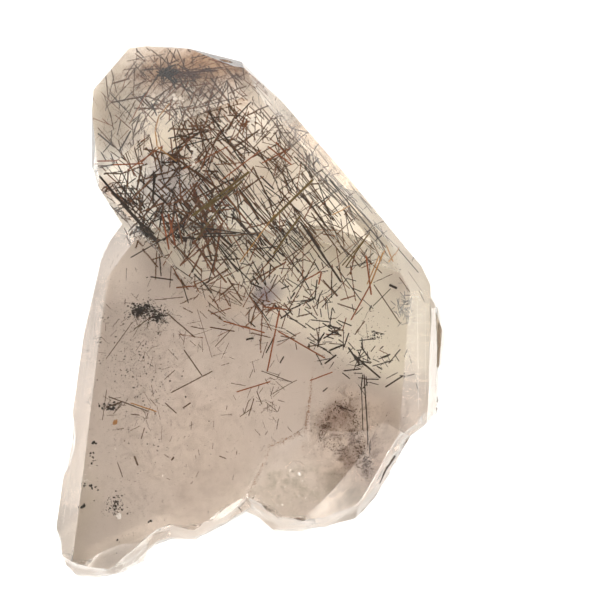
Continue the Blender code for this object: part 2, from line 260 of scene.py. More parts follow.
place = add("ShaderNodeTexCoord")
across_seam = add("ShaderNodeVectorMath")
across_seam.operation = "DOT_PRODUCT"
seam_way = (SEAM_END - SEAM_START).normalized()
seam_out = Vector((-seam_way.y, seam_way.x, 0))
across_seam.inputs[1].default_value = seam_out
seam_at = seam_out.xy.dot(SEAM_START)
seam_side = add("ShaderNodeMapRange")
seam_side.inputs["From Min"].default_value = seam_at - SEAM_BLEND
seam_side.inputs["From Max"].default_value = seam_at + SEAM_BLEND
link(place.outputs["Object"], across_seam.inputs[0])
link(across_seam.outputs["Value"], seam_side.inputs["Value"])
across_overlap = add("ShaderNodeVectorMath")
across_overlap.operation = "DOT_PRODUCT"
across_overlap.inputs[1].default_value = OVERLAP_WAY
past_overlap = add("ShaderNodeMapRange")
past_overlap.inputs["From Min"].default_value, past_overlap.inputs["From Max"].default_value = OVERLAP_ENDS
link(place.outputs["Object"], across_overlap.inputs[0])
link(across_overlap.outputs["Value"], past_overlap.inputs["Value"])
# Painted light over the hidden prism end, and the point's smoke with painted shade past it.
tint = tinted(LEFT_PRISM_TINT, seam_side.outputs["Result"], OVERLAP_PAINTED_LIGHT)
tint = tinted(tint, past_overlap.outputs["Result"], POINT_SMOKE_AND_PAINTED_SHADE)
frosting = add("ShaderNodeAttribute")
frosting.attribute_name = "frost"
tint = tinted(tint, frosting.outputs["Fac"], FRESH_BREAK_TINT)
veil_clouds = add("ShaderNodeTexNoise")
veil_clouds.inputs["Scale"].default_value = 700
veil_clouds.inputs["Detail"].default_value = 8
veil_clouds.inputs["Roughness"].default_value = 0.65
veil_clouds.inputs["Distortion"].default_value = 0.8
veil = add("ShaderNodeMapRange")
veil.inputs["From Min"].default_value, veil.inputs["From Max"].default_value = VEIL_SHARE
link(place.outputs["Object"], veil_clouds.inputs["Vector"])
link(veil_clouds.outputs["Fac"], veil.inputs["Value"])
# Smoky tints, and among them the patches of painted light and shade.
for centre, half_size, smoky in SMOKE_AND_PAINTED_LIGHT_PATCHES:
    tint = tinted(tint, patch_amount(centre, half_size), smoky)
for centre, half_size, smoky in VEIL_PATCHES:
    in_veil = add("ShaderNodeMath")
    in_veil.operation = "MULTIPLY"
    link(patch_amount(centre, half_size), in_veil.inputs[0])
    link(veil.outputs["Result"], in_veil.inputs[1])
    tint = tinted(tint, in_veil.outputs["Value"], smoky)
link(tint, shader.inputs["Base Color"])

growth_map = add("ShaderNodeUVMap")
growth_map.uv_map = "growth"
line_mapping = add("ShaderNodeMapping")
line_mapping.inputs["Scale"].default_value = GROWTH_LINE_SCALE
growth_lines = add("ShaderNodeTexNoise")
growth_lines.inputs["Scale"].default_value = 1
growth_lines.inputs["Detail"].default_value = 4
link(growth_map.outputs["UV"], line_mapping.inputs["Vector"])
link(line_mapping.outputs["Vector"], growth_lines.inputs["Vector"])
pits = add("ShaderNodeTexNoise")
pits.inputs["Scale"].default_value = 900
pits.inputs["Detail"].default_value = 6
link(place.outputs["Object"], pits.inputs["Vector"])
frosted_pits = add("ShaderNodeMath")
frosted_pits.operation = "MULTIPLY"
link(pits.outputs["Fac"], frosted_pits.inputs[0])
link(frosting.outputs["Fac"], frosted_pits.inputs[1])
relief = add("ShaderNodeMath")
relief.operation = "ADD"
link(growth_lines.outputs["Fac"], relief.inputs[0])
link(frosted_pits.outputs["Value"], relief.inputs[1])
bump = add("ShaderNodeBump")
bump.inputs["Strength"].default_value = 0.35
bump.inputs["Distance"].default_value = GROWTH_LINE_DEPTH
link(relief.outputs["Value"], bump.inputs["Height"])
link(bump.outputs["Normal"], shader.inputs["Normal"])
roughness = add("ShaderNodeMapRange")
roughness.inputs["To Min"].default_value, roughness.inputs["To Max"].default_value = CLEAR_TO_FROSTED
link(frosted_pits.outputs["Value"], roughness.inputs["Value"])
link(roughness.outputs["Result"], shader.inputs["Roughness"])
quartz.data.materials.append(quartz_look)
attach(quartz, "root")
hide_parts("quartz_cluster")


# Rutile needles in the point
# Thin four-sided crystals of titanium oxide that grew first and were shut in as the quartz closed round
# them. They cross in a few fixed directions, and are thickest in the middle of the point.
random.seed(11)
solid = bmesh.new()
solid.from_mesh(quartz.data)
bmesh.ops.triangulate(solid, faces=solid.faces)
quartz_tree = BVHTree.FromBMesh(solid)
solid.free()
UP = Vector((0, 0, 1))
ABOVE = 40 * MM
STEP_PAST = 0.001 * MM
SKIN = 0.12 * MM
LEAST_ROOM = 0.6 * MM
BACK_GAP = 0.3 * MM
LEAST_REACH = 0.12 * MM
SHORTER = 0.7
TRIES_EACH = 30


def front_at(x, y):
    """Height of the front of the quartz over a place given in mm, or None beside it."""
    hit = quartz_tree.ray_cast(Vector((x * MM, y * MM, ABOVE)), -UP)[0]
    return hit.z if hit else None


def depth_at(x, y):
    """How much quartz there is below the front at a place given in mm."""
    front = front_at(x, y)
    if front is None:
        return 0
    hit = quartz_tree.ray_cast(Vector((x * MM, y * MM, front - STEP_PAST)), -UP)[0]
    return front - hit.z if hit else 0


def is_inside(point):
    """True where a point is in the quartz and further than a thin skin from its surface."""
    crossings, start = 0, point
    while True:
        hit = quartz_tree.ray_cast(start, UP)[0]
        if hit is None:
            break
        crossings += 1
        start = hit + UP * STEP_PAST
    return crossings % 2 == 1 and quartz_tree.find_nearest(point)[3] > SKIN


def make_needle_model(name, sides):
    """One needle of unit length and thickness along Z, with a short point at each end."""
    bpy.ops.object.select_all(action="DESELECT")
    bpy.ops.mesh.primitive_cylinder_add(vertices=sides, radius=0.5, depth=1, end_fill_type="TRIFAN")
    needle = bpy.context.active_object
    needle.name = name
    bpy.ops.object.mode_set(mode="EDIT")
    bpy.ops.mesh.select_mode(type="VERT")
    bpy.ops.mesh.select_all(action="DESELECT")
    shape = bmesh.from_edit_mesh(needle.data)
    for corner in shape.verts:
        corner.select = corner.co.xy.length > 0.25
    bmesh.update_edit_mesh(needle.data)
    bpy.ops.transform.resize(value=(1, 1, 0.95))
    bpy.ops.object.mode_set(mode="OBJECT")
    return needle


def joined_copies(name, model, places):
    """Copies one modelled shape to each place, and joins the copies in one mesh."""
    corners = [v.co.copy() for v in model.data.vertices]
    sides = [tuple(p.vertices) for p in model.data.polygons]
    all_corners, all_sides = [], []
    for placed in places:
        first = len(all_corners)
        all_corners.extend(placed @ corner for corner in corners)
        all_sides.extend(tuple(first + i for i in side) for side in sides)
    mesh = bpy.data.meshes.new(name)
    mesh.from_pydata(all_corners, [], all_sides)
    piece = bpy.data.objects.new(name, mesh)
    bpy.context.collection.objects.link(piece)
    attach(piece, "root")
    return piece


def needle_between(start, end, thick):
    """Places the needle model with its ends at two points."""
    way = end - start
    rolled = Matrix.Rotation(random.uniform(0, math.pi), 4, "Z")
    turned = way.to_track_quat("Z", "Y").to_matrix().to_4x4() @ rolled
    return Matrix.Translation((start + end) / 2) @ turned @ Matrix.Diagonal((thick, thick, way.length, 1))


CLEAR_WINDOWS = (  # centre and half size in mm of places where few needles grew
    (-9.6, 20.2, 1.5, 2.0),
    (-7.4, 23.2, 0.8, 1.4),
    (0.7, 17.4, 0.8, 3.2),
    (14.5, 4.0, 2.2, 1.8),
)
SHARE_IN_WINDOWS = 0.2


def is_spared(x, y):
    """True for most places in a clear window."""
    in_window = any(((x - a) / wide) ** 2 + ((y - b) / high) ** 2 < 1 for a, b, wide, high in CLEAR_WINDOWS)
    return in_window and random.random() > SHARE_IN_WINDOWS


def sow(count, patch, families, lengths, thicknesses, depths, dip=18):
    """Random needles in a patch (x, y, half length, half width, turn) in mm that all stay in the quartz.
    Each family is a share, a direction seen from the front and a spread, in degrees."""
    x0, y0, long_half, short_half, turn = patch
    turn = math.radians(turn)
    placed, tries = [], 0
    while len(placed) < count and tries < count * TRIES_EACH:
        tries += 1
        along = random.gauss(0, 0.5) * long_half
        across = random.gauss(0, 0.5) * short_half
        x = x0 + along * math.cos(turn) - across * math.sin(turn)
        y = y0 + along * math.sin(turn) + across * math.cos(turn)
        room = depth_at(x, y)
        if room < LEAST_ROOM or is_spared(x, y):
            continue
        depth = random.uniform(depths[0] * MM, min(depths[1] * MM, room - BACK_GAP))
        middle = Vector((x * MM, y * MM, front_at(x, y) - depth))
        _, heading, spread = random.choices(families, weights=[f[0] for f in families])[0]
        heading = math.radians(heading + random.gauss(0, spread))
        rise = math.radians(random.gauss(0, dip))
        level = math.cos(rise)
        way = Vector((math.cos(heading) * level, math.sin(heading) * level, math.sin(rise)))
        reach = random.triangular(*lengths) * MM / 2
        while reach > LEAST_REACH and not all(is_inside(middle + way * end) for end in (reach, -reach)):
            reach *= SHORTER
        if reach > LEAST_REACH:
            thick = random.triangular(*thicknesses) * MM
            placed.append(needle_between(middle - way * reach, middle + way * reach, thick))
    return placed


LAID_THICKER = 1.15


def laid(rows, depths):
    """Needles whose ends (x, y, x, y) and thickness are given in mm, each at its own depth in a range."""
    placed = []
    for x1, y1, x2, y2, thick in rows:
        depth = random.uniform(*depths) * MM
        ends = []
        for x, y in ((x1, y1), (x2, y2)):
            front = front_at(x, y)
            if front is not None:
                ends.append(Vector((x * MM, y * MM, front - depth)))
        if len(ends) == 2:
            placed.append(needle_between(*ends, thick * LAID_THICKER * MM))
    return placed


fine_needle = make_needle_model("fine_needle_model", 4)
stout_needle = make_needle_model("stout_needle_model", 6)

POINT_FAMILIES = ((3, -48, 7), (2, 44, 10), (1, 10, 10), (1, 74, 10), (1, -76, 10), (1.5, 0, 90))
ALONG_FAMILIES = ((5, -50, 6), (2, 44, 9), (1, -70, 12), (1, 0, 90))
LONG_FAMILIES = ((4, -50, 4), (1, 45, 6))
ANY_WAY = ((1, 0, 90),)
black_needles = (
    sow(65, (-7.0, 9.9, 8.5, 6.0, -48), POINT_FAMILIES, (1.0, 5.5, 2.2), (0.072, 0.25, 0.13), (0.7, 7))
    + sow(26, (-3.0, 9.0, 9.0, 7.0, -48), POINT_FAMILIES, (1.0, 6.0, 2.2), (0.072, 0.21, 0.12), (0.7, 6))
    + sow(42, (1.6, 11.4, 9.0, 6.0, -48), ALONG_FAMILIES, (1.0, 6.5, 2.4), (0.072, 0.2, 0.12), (0.7, 5))
    + sow(40, (9.6, 9.8, 11.0, 4.0, -48), ALONG_FAMILIES, (1.0, 8.0, 2.6), (0.06, 0.15, 0.1), (0.4, 5))
    + sow(65, (-8.5, 21.5, 10.0, 7.0, -20), POINT_FAMILIES, (0.8, 6.0, 2.0), (0.06, 0.18, 0.1), (0.6, 5))
    + sow(94, (8.6, -1.6, 8.0, 5.0, -40), ANY_WAY, (0.3, 3.0, 0.9), (0.07, 0.22, 0.12), (0.3, 2.5))
    + sow(34, (5.0, 4.0, 5.5, 3.6, -40), ANY_WAY, (0.4, 2.8, 1.0), (0.06, 0.2, 0.11), (0.3, 2.5))
    + sow(35, (13.0, -5.5, 4.5, 3.0, 0), ANY_WAY, (0.4, 2.6, 1.0), (0.06, 0.18, 0.1), (0.3, 2.5))
    + sow(40, (-13.2, 12.6, 4.6, 1.6, -48), POINT_FAMILIES, (0.8, 4.0, 1.8), (0.06, 0.2, 0.11), (0.3, 4))
    + sow(8, (3.0, 9.0, 8.0, 5.0, -48), LONG_FAMILIES, (4.0, 11.0, 7.0), (0.06, 0.15, 0.09), (0.4, 3))
)
brown_needles = (
    sow(95, (-7.0, 10.5, 9.0, 6.5, -48), POINT_FAMILIES, (1.2, 8.0, 2.8), (0.072, 0.3, 0.16), (0.7, 7))
    + sow(48, (2.0, 11.5, 10.0, 6.0, -48), ALONG_FAMILIES, (1.2, 8.0, 2.8), (0.072, 0.23, 0.13), (0.7, 6))
    + sow(55, (9.6, 9.8, 11.0, 4.0, -48), ALONG_FAMILIES, (1.0, 8.0, 2.6), (0.06, 0.16, 0.1), (0.4, 5))
    + sow(150, (-7.0, 21.5, 11.0, 8.0, -20), POINT_FAMILIES, (0.8, 6.5, 2.4), (0.06, 0.23, 0.12), (0.4, 5))
    + sow(90, (2.4, 18.6, 6.0, 4.0, -48), POINT_FAMILIES, (0.8, 5.0, 2.0), (0.06, 0.17, 0.1), (0.4, 4))
    + sow(42, (-1.8, 1.6, 6.5, 4.0, -10), ANY_WAY, (0.6, 4.0, 1.6), (0.06, 0.16, 0.1), (0.4, 5))
    + sow(24, (8.3, 0.5, 7.0, 5.0, -40), ANY_WAY, (0.5, 3.0, 1.2), (0.072, 0.18, 0.13), (0.3, 3))
    + sow(36, (-13.4, 12.8, 4.6, 1.6, -48), POINT_FAMILIES, (0.8, 4.0, 1.8), (0.06, 0.2, 0.11), (0.3, 4))
    + sow(40, (-7.0, 27.2, 7.5, 2.0, -8), POINT_FAMILIES, (0.8, 4.5, 2.0), (0.06, 0.17, 0.1), (0.3, 2))
    + sow(9, (4.5, 8.0, 8.0, 4.5, -48), LONG_FAMILIES, (4.0, 11.0, 7.0), (0.06, 0.16, 0.1), (0.4, 3))
)
russet_needles = (
    sow(64, (-6.0, 10.5, 9.0, 6.5, -48), POINT_FAMILIES, (1.5, 7.0, 3.0), (0.084, 0.28, 0.16), (0.6, 5))
    + sow(110, (-6.0, 22.5, 11.0, 7.0, -20), POINT_FAMILIES, (1.0, 6.0, 2.4), (0.06, 0.21, 0.12), (0.4, 4))
    + sow(40, (8.0, 7.0, 9.0, 6.0, -45), POINT_FAMILIES, (1.0, 5.0, 2.0), (0.072, 0.17, 0.12), (0.4, 4))
    + sow(30, (0.0, 0.5, 6.0, 3.0, -10), ANY_WAY, (0.8, 4.0, 2.0), (0.072, 0.15, 0.12), (0.4, 4))
)
hair_needles = (
    sow(150, (-5.0, 9.5, 9.0, 6.0, -48), POINT_FAMILIES, (0.8, 4.0, 1.6), (0.02, 0.05, 0.035), (0.8, 9))
    + sow(260, (-8.5, 21.5, 10.0, 8.0, -20), POINT_FAMILIES, (0.8, 4.0, 1.6), (0.02, 0.05, 0.035), (0.6, 6))
    + sow(30, (7.0, 1.0, 8.0, 6.0, -30), ANY_WAY, (0.5, 2.5, 1.2), (0.02, 0.05, 0.035), (0.4, 6))
)

BLACK_LAID_AND_EDGE_SHADE = (
    # The first five rows lie thick along the lower left edge of the point, where it stands over the left
    # prism: needles, and painted shade that draws the dark line along that overhang.
    (-17.0, 15.4, -14.3, 12.2, 0.24),
    (-14.6, 12.5, -12.0, 9.6, 0.36),
    (-12.5, 9.9, -10.6, 8.2, 0.42),
    (-12.9, 9.8, -11.5, 8.5, 0.24),
    (-13.4, 11.0, -10.8, 8.9, 0.2),
    (5.5, 10.3, 10.2, 3.4, 0.2),
    (6.2, 9.4, 8.3, 6.2, 0.26),
    (15.5, 3.2, 16.4, 2.8, 0.24),
    (13.7, 0.8, 15.7, 2.8, 0.09),
    (11.5, -4.6, 14.6, -7.3, 0.18),
    (17.1, -7.0, 15.1, -8.3, 0.16),
    (8.8, -4.2, 10.5, -3.5, 0.19),
    (-0.6, -3.0, 0.3, -2.8, 0.2),
    (-5.4, 8.9, -1.6, 9.0, 0.16),
    (-5.4, 8.6, -2.7, 8.7, 0.12),
    (0.3, 1.5, 2.0, -0.9, 0.12),
    (-3.0, 6.5, 0.1, 3.5, 0.13),
    (-4.0, 6.4, -4.8, 3.4, 0.11),
    (-4.8, 22.7, -0.5, 16.2, 0.14),
    (-10.7, 15.7, -11.0, 13.1, 0.2),
    (-8.5, 18.5, -4.0, 19.7, 0.12),
    (-9.3, 19.6, -4.7, 20.4, 0.12),
    (-1.8, 21.7, 0.0, 23.6, 0.13),
    (8.7, 14.9, 15.1, 7.2, 0.15),
    (7.7, 16.1, 13.6, 9.8, 0.11),
    (13.6, 9.8, 18.7, 4.4, 0.13),
    (12.4, -7.8, 12.6, -13.2, 0.1),
    (12.7, -6.8, 13.3, -15.9, 0.13),
    (-13.6, 6.2, -8.5, 9.1, 0.12),
    (-7.8, 12.5, -1.7, 5.7, 0.12),
    (-6.9, 9.8, 1.2, 8.7, 0.12),
    (-2.3, 11.2, 2.6, 5.7, 0.13),
    (-0.5, 7.1, 3.5, 7.6, 0.11),
    (1.2, 13.9, 6.0, 8.2, 0.12),
)
STREAK_AND_DARK_REFLECTION_LAID = (
    # Needles along the chipped lower right edge, which also paint the dark reflection that the chips show
    # there.
    (16.3, -16.2, 15.3, -17.7, 0.22),
    (15.4, -17.4, 14.5, -19.4, 0.26),
    (15.0, -17.6, 14.2, -19.0, 0.14),
    (16.6, -15.9, 15.9, -16.9, 0.12),
)
RED_LAID = (
    (12.9, 6.5, 13.5, 2.0, 0.17),
    (13.4, 3.2, 11.2, -0.8, 0.15),
    (1.4, 0.7, 4.1, 0.4, 0.17),
    (3.2, 0.3, 2.8, -1.7, 0.17),
    (2.8, -1.7, 1.8, -6.6, 0.15),
    (-3.2, -0.9, 1.6, -2.2, 0.14),
    (3.0, -2.0, 8.4, -5.1, 0.15),
    (7.9, 4.7, 6.0, 3.7, 0.13),
    (7.9, 4.6, 7.6, 3.2, 0.17),
    (1.6, 17.0, 3.9, 18.2, 0.16),
    (1.9, 18.7, 4.6, 16.6, 0.16),
    (2.8, 19.2, 4.5, 17.1, 0.14),
    (1.2, 16.8, 4.4, 18.5, 0.12),
    (-17.7, 16.8, -12.0, 16.8, 0.16),
    (-1.7, -8.9, 2.2, -7.7, 0.13),
    (-10.0, 11.2, -9.2, 7.1, 0.18),
    (-9.3, 11.2, -8.5, 7.6, 0.2),
    (-8.7, 10.9, -9.2, 8.5, 0.14),
    (-0.9, 27.3, -4.8, 28.5, 0.12),
    (-13.9, 16.0, -9.8, 18.8, 0.12),
    (-7.7, 16.1, -2.5, 18.7, 0.13),
    (-11.4, 25.1, -13.6, 21.1, 0.12),
    (6.6, -7.6, 9.2, -6.6, 0.12),
    (-3.3, 14.9, 1.2, 18.3, 0.13),
)
OLIVE_LAID = (
    (7.0, 15.0, 2.1, 10.2, 0.26),
    (5.6, 11.0, 2.5, 6.6, 0.2),
    (13.3, 9.1, 10.6, 5.1, 0.15),
    (13.1, 8.7, 10.2, 5.3, 0.12),
    (-0.1, 15.9, -6.6, 10.9, 0.28),
    (-0.9, 14.8, -5.2, 11.6, 0.2),
    (-3.1, 13.1, -5.8, 11.5, 0.22),
    (-6.2, 8.2, -3.3, 12.1, 0.16),
)
GOLD_LAID = (
    (14.9, 7.0, 13.4, 3.2, 0.15),
    (14.4, 6.5, 13.0, 3.2, 0.12),
    (-9.1, 23.5, -10.3, 22.0, 0.13),
    (-10.3, 22.0, -10.7, 20.4, 0.14),
    (-10.7, 20.4, -10.5, 18.7, 0.13),
    (-10.5, 18.7, -8.3, 17.0, 0.12),
    (-13.6, -10.1, -10.6, -11.1, 0.12),
    (15.1, 7.6, 15.9, 5.7, 0.14),
    (16.6, 7.4, 15.4, 5.7, 0.11),
    (2.8, 11.2, -1.3, 5.7, 0.12),
    (9.1, 11.0, 11.1, 12.0, 0.1),
)

uneven = bpy.data.node_groups.new("uneven_growth", "ShaderNodeTree")
uneven.interface.new_socket("Dark", in_out="INPUT", socket_type="NodeSocketColor")
uneven.interface.new_socket("Pale", in_out="INPUT", socket_type="NodeSocketColor")
uneven.interface.new_socket("Patch Scale", in_out="INPUT", socket_type="NodeSocketFloat")
uneven.interface.new_socket("Colour", in_out="OUTPUT", socket_type="NodeSocketColor")
uneven.interface.new_socket("Height", in_out="OUTPUT", socket_type="NodeSocketFloat")
group_in = uneven.nodes.new("NodeGroupInput")
group_out = uneven.nodes.new("NodeGroupOutput")
group_place = uneven.nodes.new("ShaderNodeTexCoord")
patches = uneven.nodes.new("ShaderNodeTexNoise")
patches.inputs["Detail"].default_value = 3
blend = uneven.nodes.new("ShaderNodeMix")
blend.data_type = "RGBA"
uneven.links.new(group_place.outputs["Object"], patches.inputs["Vector"])
uneven.links.new(group_in.outputs["Patch Scale"], patches.inputs["Scale"])
uneven.links.new(patches.outputs["Fac"], blend.inputs[0])
uneven.links.new(group_in.outputs["Dark"], blend.inputs["A"])
uneven.links.new(group_in.outputs["Pale"], blend.inputs["B"])
uneven.links.new(blend.outputs["Result"], group_out.inputs["Colour"])
uneven.links.new(patches.outputs["Fac"], group_out.inputs["Height"])


def mineral(name, dark, pale, scale, roughness, metallic=0.0, shine=0.15):
    """An opaque mineral whose colour changes a little from place to place."""
    material, tree, shader, _ = new_material(name)
    growth = tree.nodes.new("ShaderNodeGroup")
    growth.node_tree = uneven
    growth.inputs["Dark"].default_value = (*dark, 1)
    growth.inputs["Pale"].default_value = (*pale, 1)
    growth.inputs["Patch Scale"].default_value = scale
    tree.links.new(growth.outputs["Colour"], shader.inputs["Base Color"])
    grooves = tree.nodes.new("ShaderNodeBump")
    grooves.inputs["Strength"].default_value = 0.4
    grooves.inputs["Distance"].default_value = 0.02 * MM
    tree.links.new(growth.outputs["Height"], grooves.inputs["Height"])
    tree.links.new(grooves.outputs["Normal"], shader.inputs["Normal"])
    shader.inputs["Roughness"].default_value = roughness
    shader.inputs["Metallic"].default_value = metallic
    shader.inputs["Specular IOR Level"].default_value = shine
    return material


black_rutile = mineral("black_rutile", (0.01, 0.006, 0.003), (0.045, 0.026, 0.015), 500, 0.5)
brown_rutile = mineral("brown_rutile", (0.035, 0.016, 0.006), (0.15, 0.07, 0.028), 400, 0.4)
russet_rutile = mineral("russet_rutile", (0.09, 0.032, 0.012), (0.26, 0.11, 0.05), 400, 0.4)
red_rutile = mineral("red_rutile", (0.13, 0.035, 0.012), (0.36, 0.12, 0.045), 400, 0.35)
olive_rutile = mineral("olive_rutile", (0.06, 0.04, 0.01), (0.2, 0.135, 0.045), 400, 0.35)
gold_rutile = mineral("gold_rutile", (0.26, 0.12, 0.03), (0.52, 0.28, 0.09), 400, 0.35)

for name, model, places, look in (
    ("black_point_needles", fine_needle, black_needles, black_rutile),
    ("brown_point_needles", fine_needle, brown_needles, brown_rutile),
    ("russet_point_needles", fine_needle, russet_needles, russet_rutile),
    ("hair_needles", fine_needle, hair_needles, brown_rutile),
    ("stout_black_needles_painted_shade_and_reflection", stout_needle, laid(BLACK_LAID_AND_EDGE_SHADE + STREAK_AND_DARK_REFLECTION_LAID, (0.25, 0.8)), black_rutile),
    ("stout_red_needles", stout_needle, laid(RED_LAID, (0.25, 0.6)), red_rutile),
    ("stout_olive_needles", stout_needle, laid(OLIVE_LAID, (0.25, 0.4)), olive_rutile),
    ("stout_gold_needles", stout_needle, laid(GOLD_LAID, (0.25, 0.5)), gold_rutile),
):
    piece = joined_copies(name, model, places)
    piece.data.materials.append(look)


# Loose needles in the left prism
# The same rutile, but only single thin needles and small bundles, far apart in the clear quartz.
LEFT_PRISM_LAID = (
    (-9.5, 0.0, -6.3, -2.8, 0.13),
    (-13.4, -1.0, -16.4, -5.2, 0.08),
    (-7.6, -4.1, -5.5, -7.1, 0.12),
    (-4.3, -6.5, -9.1, -9.0, 0.11),
    (-8.6, -6.4, -9.8, -7.5, 0.09),
    (-16.1, -9.4, -11.5, -11.1, 0.11),
    (-16.4, -10.6, -14.5, -10.0, 0.13),
    (-16.3, -8.6, -16.8, -12.1, 0.07),
    (-12.0, -12.9, -12.4, -14.2, 0.12),
    (-9.7, -10.1, -8.4, -11.3, 0.11),
    (-6.8, -10.1, -7.7, -10.7, 0.13),
    (-13.6, -11.4, -12.6, -11.5, 0.1),
    (-13.2, -16.1, -12.8, -17.2, 0.2),
    (-9.0, -16.6, -8.7, -16.2, 0.18),
    (-15.1, -16.8, -14.5, -18.5, 0.1),
    (-1.7, -21.6, -1.4, -22.2, 0.13),
    (-3.6, -16.1, -2.8, -16.4, 0.12),
    (1.1, -6.5, 4.6, -7.8, 0.1),
    (5.2, -7.5, 2.2, -9.2, 0.09),
    (-6.1, 0.5, -4.4, -5.1, 0.06),
    (-11.0, -0.3, -13.2, -1.8, 0.09),
    (-10.9, 1.5, -7.6, 1.8, 0.08),
    (-5.0, 1.5, -2.8, -0.3, 0.09),
    (-4.1, -3.8, -2.3, -1.9, 0.08),
    (0.3, -9.6, -0.3, -11.6, 0.1),
    (0.6, -8.8, 1.2, -10.3, 0.11),
    (1.6, -10.0, 2.9, -11.1, 0.09),
    (-1.3, -11.7, 0.1, -10.7, 0.08),
    (-2.3, -7.9, -0.6, -8.2, 0.06),
    (1.9, -3.2, 1.2, -5.1, 0.08),
)
left_prism_needles = (
    laid(LEFT_PRISM_LAID, (0.6, 3.0))
    + sow(45, (2.0, -9.6, 4.0, 3.6, 0), ANY_WAY, (0.4, 2.0, 0.9), (0.04, 0.1, 0.06), (0.5, 5))
    + sow(60, (-13.0, -1.5, 5.0, 6.0, 10), ANY_WAY, (0.3, 2.0, 0.7), (0.03, 0.08, 0.05), (0.5, 6))
    + sow(40, (-12.5, -11.0, 5.0, 3.0, 0), ANY_WAY, (0.3, 2.0, 0.8), (0.03, 0.09, 0.06), (0.5, 6))
    + sow(40, (-3.0, -2.5, 5.0, 3.0, 0), ANY_WAY, (0.3, 2.4, 0.9), (0.03, 0.09, 0.05), (0.5, 6))
    + sow(18, (-5.0, -15.0, 6.0, 5.0, 0), ANY_WAY, (0.3, 1.0, 0.5), (0.04, 0.1, 0.06), (0.5, 6))
)
smoke_rutile = mineral("smoke_rutile", (0.04, 0.024, 0.014), (0.14, 0.085, 0.05), 400, 0.4)
silver_rutile = mineral("silver_rutile", (0.16, 0.17, 0.19), (0.5, 0.5, 0.52), 500, 0.25, metallic=0.6)
SILVER_NEST = (17.3, 0.6, 1.0, 1.6, 0)
silver_needles = sow(60, SILVER_NEST, ANY_WAY, (0.3, 1.4, 0.6), (0.04, 0.09, 0.06), (0.15, 0.6), dip=6)
for name, places, look in (
    ("left_prism_needles", left_prism_needles, smoke_rutile),
    ("silver_needles", silver_needles, silver_rutile),
):
    piece = joined_copies(name, fine_needle, places)
    piece.data.materials.append(look)


# The knot near the tip
# A dark tangle of rutile from which a brush of straight rays fans out along the tip's edge.
KNOT = (-9.2, 26.7)
BRUSH_ENDS = ((-4.9, 28.5), (-0.8, 27.2), (-1.0, 26.6), (-3.4, 27.6))


def rays(count, start, ends, scatter, thicknesses, depth):
    """Straight needles from near one place to near others, all in mm."""
    placed = []
    for _ in range(count):
        end = random.choice(ends)
        reach = random.uniform(0.25, 1.0)
        places = []
        for x, y, wander in ((*start, scatter), (*end, scatter * 1.6)):
            places.append((x + random.gauss(0, wander), y + random.gauss(0, wander)))
        x1, y1 = places[0]
        x2, y2 = (a + (b - a) * reach for a, b in zip(places[0], places[1]))
        thick = random.triangular(*thicknesses) * MM
        fronts = front_at(x1, y1), front_at(x2, y2)
        if None not in fronts:
            a = Vector((x1 * MM, y1 * MM, fronts[0] - random.uniform(*depth) * MM))
            b = Vector((x2 * MM, y2 * MM, fronts[1] - random.uniform(*depth) * MM))
            if is_inside(a) and is_inside(b):
                placed.append(needle_between(a, b, thick))
    return placed


KNOT_ENDS = ((-10.5, 25.9), (-9.8, 27.6), (-8.0, 27.8), (-8.0, 25.9), (-8.7, 25.2), (-10.7, 27.0))
knot_needles = rays(26, KNOT, KNOT_ENDS, 0.3, (0.1, 0.26, 0.16), (0.25, 1.0))
brush_needles = rays(24, KNOT, BRUSH_ENDS, 0.25, (0.05, 0.14, 0.08), (0.4, 1.4))
for name, places, look in (
    ("knot_needles", knot_needles, black_rutile),
    ("brush_needles", brush_needles, russet_rutile),
):
    piece = joined_copies(name, fine_needle, places)
    piece.data.materials.append(look)

for model in (fine_needle, stout_needle):
    bpy.data.objects.remove(model)


# Grains and dust
# Specks of dark ore, alone or in small clouds, most of them down the left prism, one amber grain, and
# fine dust where the crystals touch. A narrow band of specks along the chipped lower right edge also
# paints the dark reflection there.
bpy.ops.object.select_all(action="DESELECT")
bpy.ops.mesh.primitive_ico_sphere_add(subdivisions=1, radius=0.5)
grain = bpy.context.active_object
for corner in grain.data.vertices:
    corner.co *= 1.1 + 0.5 * noise.noise(corner.co * 2.3)


def specks(count, patch, sizes, depths):
    """Grains scattered in a patch (x, y, half length, half width, turn), all in mm."""
    x0, y0, long_half, short_half, turn = patch
    turn = math.radians(turn)
    placed, tries = [], 0
    while len(placed) < count and tries < count * 20:
        tries += 1
        along, across = random.gauss(0, 0.5) * long_half, random.gauss(0, 0.5) * short_half
        x = x0 + along * math.cos(turn) - across * math.sin(turn)
        y = y0 + along * math.sin(turn) + across * math.cos(turn)
        front = front_at(x, y)
        if front is None:
            continue
        middle = Vector((x * MM, y * MM, front - random.uniform(*depths) * MM))
        if is_inside(middle):
            size = random.triangular(*sizes) * MM
            angle = random.uniform(0, math.tau)
            turned = Matrix.Rotation(angle, 4, Vector((random.random(), random.random(), 0.3)))
            shape = Matrix.Diagonal((size, size * random.uniform(0.5, 1), size * random.uniform(0.4, 0.9), 1))
            placed.append(Matrix.Translation(middle) @ turned @ shape)
    return placed


